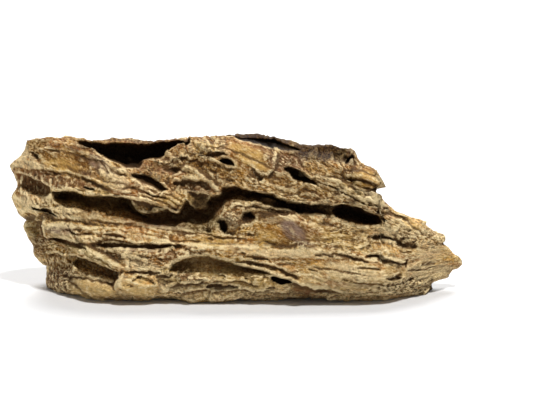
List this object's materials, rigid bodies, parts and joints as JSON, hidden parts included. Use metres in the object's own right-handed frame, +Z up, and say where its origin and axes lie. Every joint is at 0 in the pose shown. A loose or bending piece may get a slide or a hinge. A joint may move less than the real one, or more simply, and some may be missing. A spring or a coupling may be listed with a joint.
{
  "type": "aquascape dragon stone",
  "caption": "Long weathered clay stone with sloping layers, ragged ledges and deep hollows, tapering to a low nose at one end and standing on a worn flat foot.",
  "frame": {"origin": "middle of the bounding box's bottom, on the surface the stone stands on", "axes": "+X along the stone to its low nose, -Y out of the face with the deep hollows, +Z up"},
  "size_m": [0.199, 0.0962, 0.0671],
  "materials": {
    "weathered_stone": "dry, matt and rough, ochre to tan with dark brown hollows"
  },
  "bodies": {
    "root": {"dragon_stone": "weathered_stone"}
  },
  "joints": []
}
